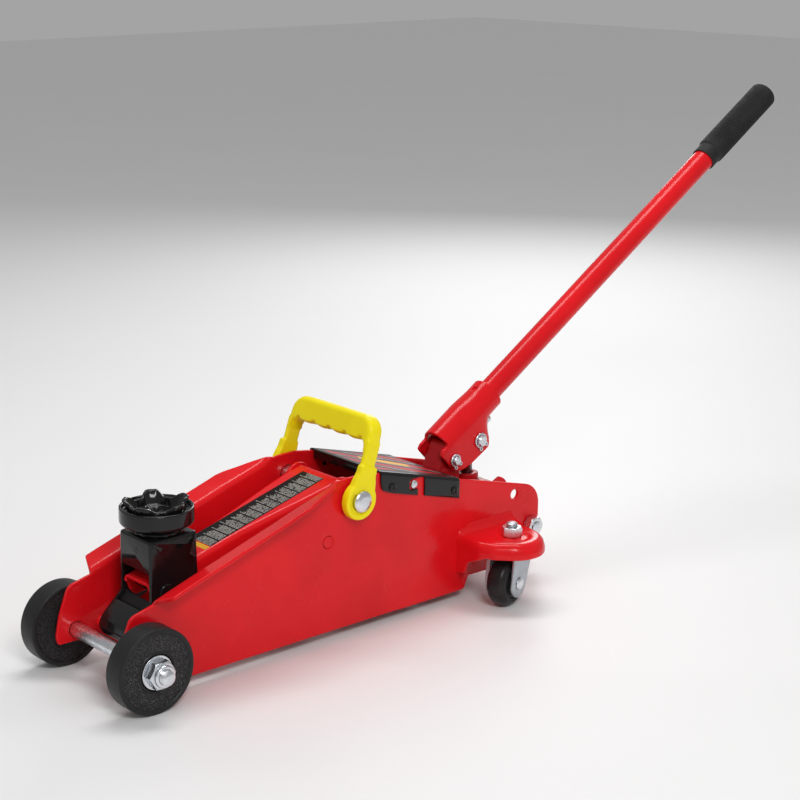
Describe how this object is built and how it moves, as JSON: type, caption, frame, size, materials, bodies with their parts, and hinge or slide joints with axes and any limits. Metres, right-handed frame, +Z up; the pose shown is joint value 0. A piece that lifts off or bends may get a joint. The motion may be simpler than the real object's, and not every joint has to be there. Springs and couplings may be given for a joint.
{
  "type": "hydraulic trolley jack",
  "caption": "Compact low-frame hydraulic floor jack with lifting arm, swivelling saddle, rear casters, carrying handle and pump handle",
  "frame": {"origin": "on the floor, under the middle of the overall box", "axes": "+X towards the pump handle, +Y across the jack, +Z up"},
  "size_m": [0.821, 0.2038, 0.4129],
  "materials": {
    "red_paint": "glossy red enamel on pressed steel",
    "black_paint": "gloss black enamel",
    "wheel_plastic": "black moulded nylon with a grained side",
    "yellow_plastic": "moulded yellow plastic",
    "grip_rubber": "black ribbed rubber",
    "zinc_plate": "bright zinc plate",
    "bright_steel": "turned steel, lightly oiled"
  },
  "bodies": {
    "frame": {"arm_shaft": "bright_steel", "cover_hook_pin_left": "zinc_plate", "cover_hook_pin_right": "zinc_plate", "cover_plate": "black_paint", "cover_screw_front_left": "black_paint", "cover_screw_front_right": "black_paint", "cover_screw_rear_left": "black_paint", "cover_screw_rear_right": "black_paint", "cylinder_gland": "bright_steel", "front_axle": "zinc_plate", "front_nut_left": "zinc_plate", "front_nut_right": "zinc_plate", "front_washer_left": "zinc_plate", "front_washer_right": "zinc_plate", "fulcrum_bracket": "red_paint", "oil_filler_plug": "wheel_plastic", "power_unit_base": "red_paint", "ram_cylinder": "zinc_plate", "rear_tie_rod": "zinc_plate", "return_spring_left": "bright_steel", "return_spring_right": "bright_steel", "rod_pivot_left": "bright_steel", "rod_pivot_right": "bright_steel", "side_plate_left": "red_paint", "side_plate_right": "red_paint", "spring_anchor": "bright_steel", "tie_rod_nut_left": "zinc_plate", "tie_rod_nut_right": "zinc_plate"},
    "arm": {"lift_arm": "red_paint", "crosshead_pin": "bright_steel"},
    "roller": {"crosshead_roller": "bright_steel"},
    "bracket": {"saddle_bracket": "black_paint", "saddle_pin": "bright_steel"},
    "saddle": {"saddle": "black_paint"},
    "radius_rods": {"radius_rod_left": "red_paint", "radius_rod_right": "red_paint", "foot_pin": "bright_steel"},
    "ram": {"ram": "bright_steel"},
    "carry": {"carry_handle": "yellow_plastic"},
    "socket": {"handle_socket": "red_paint", "fulcrum_pin": "zinc_plate", "fulcrum_clip": "zinc_plate", "plunger_pin": "zinc_plate", "plunger_clip": "zinc_plate", "socket_set_screw": "zinc_plate"},
    "handle": {"handle_tube": "red_paint", "handle_grip": "grip_rubber"},
    "plunger": {"pump_plunger": "bright_steel"},
    "valve": {"release_valve": "red_paint"},
    "wheel_left": {"front_wheel_left": "wheel_plastic"},
    "wheel_right": {"front_wheel_right": "wheel_plastic"},
    "caster_left": {"caster_fork_left": "zinc_plate", "caster_axle_left": "zinc_plate", "caster_nut_left": "zinc_plate"},
    "caster_right": {"caster_fork_right": "zinc_plate", "caster_axle_right": "zinc_plate", "caster_nut_right": "zinc_plate"},
    "caster_roll_left": {"caster_wheel_left": "wheel_plastic"},
    "caster_roll_right": {"caster_wheel_right": "wheel_plastic"}
  },
  "joints": [
    {"name": "arm_lift", "type": "hinge", "parent": "frame", "child": "arm", "pos_m": [-0.16432, 0, 0.1173], "axis": [0, 1, 0], "range_deg": [0, 60], "deforming": ["return_spring_left", "return_spring_right"]},
    {"name": "roller_spin", "type": "hinge", "parent": "arm", "child": "roller", "pos_m": [-0.14332, 0, 0.08093], "axis": [0, 1, 0], "continuous": true},
    {"name": "bracket_pivot", "type": "hinge", "parent": "arm", "child": "bracket", "pos_m": [-0.33472, 0, 0.0725], "axis": [0, 1, 0], "range_deg": [-60, 0]},
    {"name": "saddle_swivel", "type": "hinge", "parent": "bracket", "child": "saddle", "pos_m": [-0.32762, 0, 0.1352], "axis": [0, 0, 1], "continuous": true},
    {"name": "radius_rod_pivot", "type": "hinge", "parent": "frame", "child": "radius_rods", "pos_m": [-0.19172, 0, 0.086], "axis": [0, 1, 0], "range_deg": [0, 60]},
    {"name": "ram_stroke", "type": "slide", "parent": "frame", "child": "ram", "axis": [-1, 0, 0], "range_m": [0, 0.0425]},
    {"name": "carry_handle_pivot", "type": "hinge", "parent": "frame", "child": "carry", "pos_m": [-0.16432, 0, 0.1173], "axis": [0, 1, 0], "range_deg": [-25, 35]},
    {"name": "pump_pivot", "type": "hinge", "parent": "frame", "child": "socket", "pos_m": [-0.02392, 0, 0.1155], "axis": [0, 1, 0], "range_deg": [-22, 27]},
    {"name": "handle_pull", "type": "slide", "parent": "socket", "child": "handle", "axis": [0.8415, 0, 0.5402], "range_m": [0, 0.022]},
    {"name": "plunger_stroke", "type": "slide", "parent": "frame", "child": "plunger", "axis": [0, 0, 1], "range_m": [-0.0145, 0.012]},
    {"name": "release_valve_turn", "type": "hinge", "parent": "frame", "child": "valve", "pos_m": [0.02228, -0.011, 0.073], "axis": [0.9063, 0, 0.4226], "range_deg": [-180, 0]},
    {"name": "front_wheel_spin_left", "type": "hinge", "parent": "frame", "child": "wheel_left", "pos_m": [-0.37772, -0.0596, 0.0336], "axis": [0, 1, 0], "continuous": true},
    {"name": "caster_swivel_left", "type": "hinge", "parent": "frame", "child": "caster_left", "pos_m": [-0.01172, -0.0745, 0.0215], "axis": [0, 0, 1], "continuous": true},
    {"name": "caster_roll_spin_left", "type": "hinge", "parent": "caster_left", "child": "caster_roll_left", "pos_m": [-0.01945, -0.07657, 0.0215], "axis": [0.2588, -0.9659, 0], "continuous": true},
    {"name": "front_wheel_spin_right", "type": "hinge", "parent": "frame", "child": "wheel_right", "pos_m": [-0.37772, 0.0596, 0.0336], "axis": [0, 1, 0], "continuous": true},
    {"name": "caster_swivel_right", "type": "hinge", "parent": "frame", "child": "caster_right", "pos_m": [-0.01172, 0.0745, 0.0215], "axis": [0, 0, 1], "continuous": true},
    {"name": "caster_roll_spin_right", "type": "hinge", "parent": "caster_right", "child": "caster_roll_right", "pos_m": [-0.01945, 0.07657, 0.0215], "axis": [0.2588, 0.9659, 0], "continuous": true}
  ],
  "couplings": [
    {"joint": "bracket_pivot", "follows": "arm_lift", "ratio": -1},
    {"joint": "radius_rod_pivot", "follows": "arm_lift", "ratio": 1},
    {"joint": "ram_stroke", "follows": "arm_lift", "m_per_rad": 0.040107},
    {"joint": "plunger_stroke", "follows": "pump_pivot", "m_per_rad": -0.0298}
  ]
}
